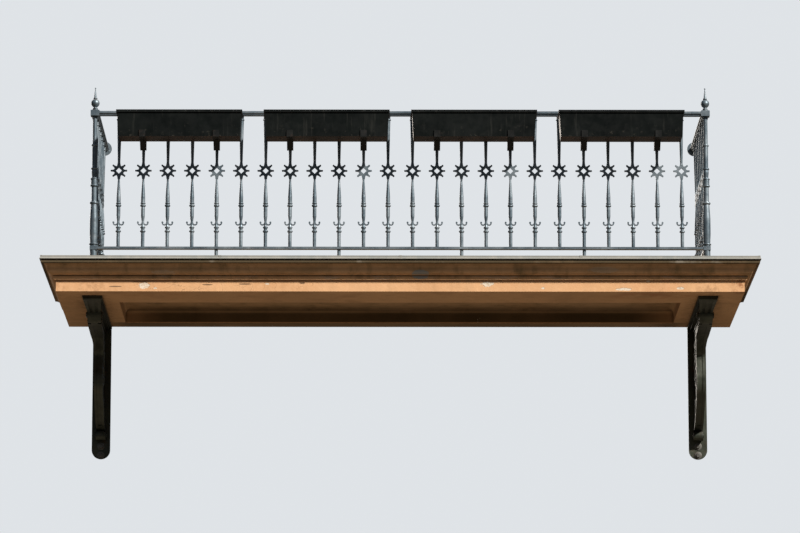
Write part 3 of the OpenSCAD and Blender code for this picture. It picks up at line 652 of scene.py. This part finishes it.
def deck_tiling():
    """Square tiles on a bed, with open joints, in the space that the screed holds."""
    tile, joint_rust_and_shade, tile_t, tile_edge, uneven = 0.196, 0.004, 0.008, 0.0012, 0.0005
    edge_gap = 0.004
    narrowest_cut = 0.02
    low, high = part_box("deck_screed")
    sheet_low, sheet_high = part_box("flashing_front")
    x0, x1 = sheet_low.x + SHEET_W + edge_gap, sheet_high.x - SHEET_W - edge_gap
    y0, y1 = sheet_low.y + SHEET_W + edge_gap, high.y
    mesh = bmesh.new()
    tone = mesh.faces.layers.float.new("tone")
    # The bed under everything, and over it the mortar of the joints. They stop 1 and 2 mm short of
    # the tiles' back edge, so that no two faces lie in one plane there.
    bed_top, mortar_top, mortar_t = high.z - 0.0032, high.z - 0.0025, 0.0175
    add_box(mesh, low, (high.x, y1 - 0.001, bed_top), material=1)
    add_box(mesh, (x0, y0, mortar_top - mortar_t), (x1, y1 - 0.002, mortar_top), material=1)
    pitch = tile + joint_rust_and_shade
    count_x = math.ceil((x1 - x0) / pitch)
    count_y = math.ceil((y1 - y0) / pitch)
    start_x = (x0 + x1) / 2 - count_x * pitch / 2
    draw = random.Random(4)
    for i in range(count_x):
        for j in range(count_y):
            left = start_x + i * pitch
            back = y1 - j * pitch
            low_corner = (max(left, x0), max(back - tile, y0), high.z - tile_t)
            top = high.z - draw.uniform(0.0, uneven)
            high_corner = (min(left + tile, x1), back, top)
            if min(high_corner[k] - low_corner[k] for k in (0, 1)) < narrowest_cut:
                continue
            shade = draw.random()
            for face in add_box(mesh, low_corner, high_corner, bevel=tile_edge):
                face[tone] = shade
    made = piece("deck_tiling", mesh, [TILES, GROUT])
    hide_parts("deck_screed")


deck_tiling()


# Flashing

# How deep the laps and seams are sunk into the sheet under them
SINK = 0.001


def add_seam(mesh, start, end, width, proud):
    """A flat folded seam on the sheet's top, from start to end in plan."""
    start, end = Vector(start), Vector(end)
    across = Vector((start.y - end.y, end.x - start.x)).normalized() * width / 2
    foot, top, narrowed = DECK_Z - SINK, DECK_Z + proud, 0.85
    rings = []
    for middle, z, spread in (
        (start, foot, 1.0), (start, top, narrowed), (end, top, narrowed), (end, foot, 1.0),
    ):
        rings.append([mesh.verts.new((*(middle + side * spread * across), z)) for side in (-1, 1)])
    for (a, b), (c, d) in zip(rings, rings[1:] + rings[:1]):
        mesh.faces.new((a, b, d, c))
    for k in (0, 1):
        mesh.faces.new([ring[k] for ring in (rings if k == 0 else rings[::-1])])


def flashing_laps():
    """Folded laps where the sheets meet, a seam on each mitre, and nails along the inner edge."""
    sheet_count, lap_w, lap_edge, proud = 4, 0.018, 0.0006, 0.0016
    drip_w, fold_foot, fold_in = 0.005, DECK_Z - 0.010, 0.004
    seam_w, seam_outer, seam_inner = 0.015, 0.008, 0.004
    nail, nail_pitch, nail_inset = dome(0.0045, 0.0018), 0.15, 0.022
    first_front, first_side = 0.02, 0.05
    mesh = bmesh.new()
    low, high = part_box("flashing_front")
    for side in (-1, 1):
        outer = (side * (high.x - seam_outer), low.y + seam_outer)
        inner = (side * (high.x - SHEET_W + seam_inner), low.y + SHEET_W - seam_inner)
        add_seam(mesh, outer, inner, seam_w, proud)
    front = [(low.x + SHEET_W + first_front + i * nail_pitch, low.y + SHEET_W - nail_inset)
             for i in range(int((high.x - low.x - 2 * SHEET_W) / nail_pitch) + 1)]
    sides = [(side * (high.x - SHEET_W + nail_inset), -first_side - i * nail_pitch)
             for side in (-1, 1) for i in range(int((-low.y - SHEET_W) / nail_pitch))]
    for x, y in front + sides:
        add_turned(mesh, nail, facing_place((x, y, DECK_Z), (0, 0, 1)), 10)
    # The laps come last, because faces made after a bevel change their order from run to run.
    drop_y = low.y + drip_w
    for i in range(1, sheet_count):
        x = low.x + (high.x - low.x) * i / sheet_count
        x0, x1 = x - lap_w / 2, x + lap_w / 2
        add_box(mesh, (x0, drop_y + SINK, DECK_Z - SINK), (x1, low.y + SHEET_W, DECK_Z + proud),
                bevel=lap_edge)
        add_box(mesh, (x0, drop_y - proud, fold_foot), (x1, drop_y + fold_in, DECK_Z + proud),
                bevel=lap_edge)
    piece("flashing_laps", mesh, [SHEET])


flashing_laps()


# Railing

def baluster_places():
    """The middle of every baluster, in plan."""
    front = [(PITCH * (i + 1) - POST_X, RAIL_Y) for i in range(FRONT_COUNT)]
    sides = [(side * POST_X, SIDE_PITCH * (i + 1)) for side in (-1, 1) for i in range(SIDE_COUNT)]
    return front + sides


def rail_rivets():
    """Riveted ends of the balusters' tenons, under the bottom rail."""
    rivet = dome(0.008, 0.004)
    mesh = bmesh.new()
    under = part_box("bottom_rail_front")[0].z
    for x, y in baluster_places():
        add_turned(mesh, rivet, facing_place((x, y, under), (0, 0, -1)), 14)
    piece("rail_rivets", mesh, [RAIL_IRON])


def rail_fixings():
    """Domed screws in the wall plates and in the posts' foot plates."""
    plate_ring, foot_ring, foot_t = 0.036, 0.0475, 0.010
    plate_screw, foot_screw = dome(0.0052, 0.00234), dome(0.0055, 0.002475)
    mesh = bmesh.new()
    for side in (-1, 1):
        low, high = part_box("wall_plates_left" if side < 0 else "wall_plates_right")
        plate_r = (high.x - low.x) / 2
        for z in (high.z - plate_r, low.z + plate_r):
            for turn in (90, 210, 330):
                a = math.radians(turn)
                spot = (side * POST_X + plate_ring * math.cos(a), low.y,
                        z + plate_ring * math.sin(a))
                add_turned(mesh, plate_screw, facing_place(spot, (0, -1, 0)), 18)
        for turn in (45, 135, 225, 315):
            a = math.radians(turn)
            spot = (side * POST_X + foot_ring * math.cos(a), RAIL_Y + foot_ring * math.sin(a),
                    DECK_Z + foot_t)
            add_turned(mesh, foot_screw, facing_place(spot, (0, 0, 1)), 18)
    piece("rail_fixings", mesh, [RAIL_IRON])


def hook_screws():
    """The screw that clamps each strap to the handrail, on the inner side."""
    strap_w, under_top, across, head_h = 0.040, 0.019, 0.011, 0.007
    mesh = bmesh.new()
    for i in range(1, len(TROUGHS) + 1):
        low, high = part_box(f"planter_hooks_{i}")
        for x in (low.x + strap_w / 2, high.x - strap_w / 2):
            place = facing_place((x, high.y, high.z - under_top), (0, 1, 0))
            add_hex(mesh, place, across, head_h)
    piece("hook_screws", mesh, [STEEL])


rail_rivets()
rail_fixings()
hook_screws()


# Brackets

def spiral(middle, start_radius, end_radius, start, turn, steps):
    """Points of a bracket's side view, going round a middle while the radius falls."""
    points = []
    for i in range(steps + 1):
        t = i / steps
        a = math.radians(start + turn * t)
        r = start_radius * (end_radius / start_radius) ** t
        points.append((middle[0] + r * math.cos(a), middle[1] + r * math.sin(a)))
    return points


def curve_through(points):
    """A smooth line through points, by Catmull and Rom."""
    steps = 8
    out = []
    for i in range(len(points) - 1):
        a, b = points[max(i - 1, 0)], points[i]
        c, d = points[i + 1], points[min(i + 2, len(points) - 1)]
        for k in range(steps):
            t = k / steps
            out.append(tuple(
                0.5 * (2 * q + (r - p) * t + (2 * p - 5 * q + 4 * r - s) * t * t
                       + (3 * q - p - 3 * r + s) * t ** 3)
                for p, q, r, s in zip(a, b, c, d)
            ))
    return out + [tuple(points[-1])]


def on_side(spot, side_x, lift):
    """A point of a bracket's side view, in the frame: spot holds the distances from the wall and
    under the soffit, and lift is how far it stands off the side."""
    x = side_x + math.copysign(lift, side_x)
    return Vector((x, -spot[0], SOFFIT_Z - spot[1]))


def add_leaf(mesh, root, tip, width, side_x, lift):
    """A pointed leaf with a groove along it, lying on a bracket's side from root to tip."""
    # From edge to edge of the leaf, shares of its half width and of its height
    section = ((-1, -0.1), (-0.55, 0.75), (0, 0.55), (0.55, 0.75), (1, -0.1))
    steps = 7
    root, tip = Vector(root), Vector(tip)
    along = tip - root
    across = Vector((-along.y, along.x)).normalized() * width
    rows = []
    for i in range(steps + 1):
        t = i / steps
        spread = max(math.sin(math.pi * (0.94 * t + 0.06)), 0.03) ** 0.8
        swell = lift * (0.35 + 0.65 * math.sin(math.pi * t) ** 0.7)
        centre = root + along * t + across * 0.35 * math.sin(math.pi * t)
        rows.append([
            mesh.verts.new(on_side(centre + across * share * spread, side_x, swell * height))
            for share, height in section
        ])
    for a, b in zip(rows, rows[1:]):
        for k in range(len(section)):
            n = (k + 1) % len(section)
            face = mesh.faces.new((a[k], a[n], b[n], b[k]))
            face.smooth = n > 0
    mesh.faces.new(rows[0])
    mesh.faces.new(rows[-1])


def add_scrollwork(mesh, side):
    """Two coiled stems with their leaves and buds, on one side of a bracket at x = 0."""
    panel_x, stem_lift, leaf_h = 0.016, 0.0015, 0.009
    face_x = side * panel_x
    coil_eye, curl_eye = (0.185, 0.380), (0.442, 0.096)
    stem = curve_through([(0.048, 0.612), (0.095, 0.560), (0.175, 0.520), (0.262, 0.450)])
    coil = spiral(coil_eye, 0.104, 0.026, 42, -470, 48)
    branch = curve_through([
        (0.064, 0.400), (0.080, 0.265), (0.150, 0.172), (0.270, 0.126), (0.400, 0.104),
    ])
    curl = spiral(curl_eye, 0.034, 0.013, 170, 420, 30)
    for line, first, last in (
        (stem + coil[4:], 0.0085, 0.0055), (branch + curl, 0.0075, 0.0045),
    ):
        path = [on_side(spot, face_x, stem_lift) for spot in line]
        count = len(path) - 1
        radii = [first + (last - first) * i / count for i in range(count + 1)]
        add_tube(mesh, path, radii, sides=8, flat=(0.75, 1.0, 1.0))
    for root, tip, width in (
        ((0.050, 0.598), (0.140, 0.598), 0.018), ((0.095, 0.560), (0.062, 0.480), 0.018),
        ((0.175, 0.520), (0.245, 0.512), 0.016), ((0.280, 0.425), (0.318, 0.350), 0.016),
        ((0.245, 0.300), (0.300, 0.262), 0.015), ((0.064, 0.365), (0.046, 0.290), 0.014),
        ((0.083, 0.258), (0.165, 0.248), 0.017), ((0.082, 0.250), (0.050, 0.165), 0.016),
        ((0.135, 0.182), (0.078, 0.100), 0.015), ((0.205, 0.146), (0.275, 0.182), 0.015),
        ((0.240, 0.130), (0.200, 0.070), 0.014), ((0.330, 0.115), (0.400, 0.150), 0.013),
        ((0.470, 0.108), (0.620, 0.092), 0.015), ((0.360, 0.108), (0.405, 0.064), 0.010),
    ):
        add_leaf(mesh, root, tip, width, face_x, leaf_h)
    for spot, radius, depth in ((coil_eye, 0.019, 0.011), (curl_eye, 0.010, 0.008)):
        place = facing_place(on_side(spot, face_x, 0.0), (side, 0, 0))
        add_turned(mesh, dome(radius, depth), place, 20)


def add_rosettes(mesh, side):
    """A ring of beads on the boss of each scroll, on one side of a bracket at x = 0."""
    for eye, boss_x, ring, bead, count in (
        (SCROLL_EYE, 0.050, 0.0145, 0.0052, 8), (FOOT_SCROLL_EYE, 0.036, 0.0082, 0.0034, 6),
    ):
        for k in range(count):
            a = math.tau * k / count
            spot = (eye[0] + ring * math.cos(a), eye[1] + ring * math.sin(a))
            place = facing_place(on_side(spot, side * boss_x, 0.0), (side, 0, 0))
            add_turned(mesh, dome(bead, bead * 0.8), place, 10)


def bracket_carving():
    """Leaf scrolls cast in relief in the sunk panels, and rosettes in the eyes of the scrolls."""
    mesh = bmesh.new()
    for middle in (-BRACKET_X, BRACKET_X):
        start = len(mesh.verts)
        for side in (-1, 1):
            add_scrollwork(mesh, side)
            add_rosettes(mesh, side)
        mesh.verts.ensure_lookup_table()
        for vert in mesh.verts[start:]:
            vert.co.x += middle
    piece("bracket_carving", mesh, [BRACKET_IRON])


def bracket_bolts():
    """The anchor bolts through the foot of each bracket's wall plate."""
    plate_t, across, head_h = 0.014, 0.024, 0.012
    mesh = bmesh.new()
    for x in (-BRACKET_X, BRACKET_X):
        for under_soffit in (0.795, 0.855):
            place = facing_place((x, -plate_t, SOFFIT_Z - under_soffit), (0, -1, 0))
            add_hex(mesh, place, across, head_h)
    piece("bracket_bolts", mesh, [STEEL])


bracket_carving()
bracket_bolts()


# Floor, light and camera

EYE = Vector((-0.127, -29.145, -5.468))
EYE_HEIGHT = 1.6
AIM = CENTRE + Vector((0.0, 0.0, 0.03))
FLOOR_Z = EYE.z - EYE_HEIGHT


def floor():
    """Street level, at eye height under the camera."""
    reach = 150.0
    mesh = bmesh.new()
    corners = [(-reach, -reach), (reach, -reach), (reach, reach), (-reach, reach)]
    mesh.faces.new([mesh.verts.new((x, y, FLOOR_Z)) for x, y in corners])
    paint = Paint("floor_paint", roughness=1.0, specular=0.0)
    paint.shader.inputs["Base Color"].default_value = (0.47, 0.50, 0.54, 1)
    made = placed("floor", mesh, [paint.material])
    made.visible_diffuse = made.visible_glossy = False


def background(sky, horizon, street, backdrop):
    """Soft light from all round, cool from the sky, dim from the horizon and warm from the street,
    and a pale backdrop that lights nothing."""
    world = bpy.data.worlds.new("studio")
    bpy.context.scene.world = world
    world.use_nodes = True
    tree = world.node_tree
    fill = tree.nodes["Background"]
    place = tree.nodes.new("ShaderNodeTexCoord")
    split = tree.nodes.new("ShaderNodeSeparateXYZ")
    height = tree.nodes.new("ShaderNodeMapRange")
    height.inputs["From Min"].default_value = -1.0
    blend = tree.nodes.new("ShaderNodeValToRGB")
    blend.color_ramp.interpolation = "EASE"
    while len(blend.color_ramp.elements) < 4:
        blend.color_ramp.elements.new(0.5)
    places = (0.12, 0.42, 0.53, 0.75)
    colours = (street, horizon, horizon, sky)
    for stop, at, colour in zip(blend.color_ramp.elements, places, colours):
        stop.position, stop.color = at, (*colour, 1)
    tree.links.new(place.outputs["Generated"], split.inputs[0])
    tree.links.new(split.outputs["Z"], height.inputs["Value"])
    tree.links.new(height.outputs["Result"], blend.inputs["Fac"])
    tree.links.new(blend.outputs["Color"], fill.inputs["Color"])
    pale = tree.nodes.new("ShaderNodeBackground")
    pale.inputs["Color"].default_value = (*backdrop, 1)
    seen = tree.nodes.new("ShaderNodeLightPath")
    mix = tree.nodes.new("ShaderNodeMixShader")
    tree.links.new(seen.outputs["Is Camera Ray"], mix.inputs[0])
    tree.links.new(fill.outputs[0], mix.inputs[1])
    tree.links.new(pale.outputs[0], mix.inputs[2])
    tree.links.new(mix.outputs[0], tree.nodes["World Output"].inputs["Surface"])


def sun(name, azimuth, elevation, energy, width, colour):
    """A soft distant lamp. Azimuth is to the right of straight ahead of the balcony."""
    light = bpy.data.lights.new(name, "SUN")
    light.energy, light.angle, light.color = energy, math.radians(width), colour
    made = bpy.data.objects.new(name, light)
    a, e = math.radians(azimuth), math.radians(elevation)
    towards = Vector((math.sin(a) * math.cos(e), -math.cos(a) * math.cos(e), math.sin(e)))
    made.rotation_euler = towards.to_track_quat("Z", "Y").to_euler()
    bpy.context.scene.collection.objects.link(made)


def camera():
    """The photograph's own place and height, turned to the balcony, with a longer lens."""
    data = bpy.data.cameras.new("camera")
    data.sensor_width, data.lens = 36.0, 203.0
    data.clip_start, data.clip_end = 0.1, 500.0
    made = bpy.data.objects.new("camera", data)
    made.location = EYE
    made.rotation_euler = (AIM - EYE).to_track_quat("-Z", "Y").to_euler()
    bpy.context.scene.collection.objects.link(made)
    bpy.context.scene.camera = made


floor()
background(sky=(0.15, 0.18, 0.22), horizon=(0.055, 0.054, 0.053), street=(0.345, 0.278, 0.198),
           backdrop=(0.74, 0.77, 0.80))
sun("key", azimuth=49.0, elevation=38.5, energy=6.7, width=3.0, colour=(1.0, 0.94, 0.86))
# Warm light from behind, as sunlit masonry throws back
sun("bounce", azimuth=205.0, elevation=15.0, energy=0.9, width=26.0, colour=(1.0, 0.90, 0.80))
bpy.context.scene.view_settings.view_transform = "Standard"
camera()
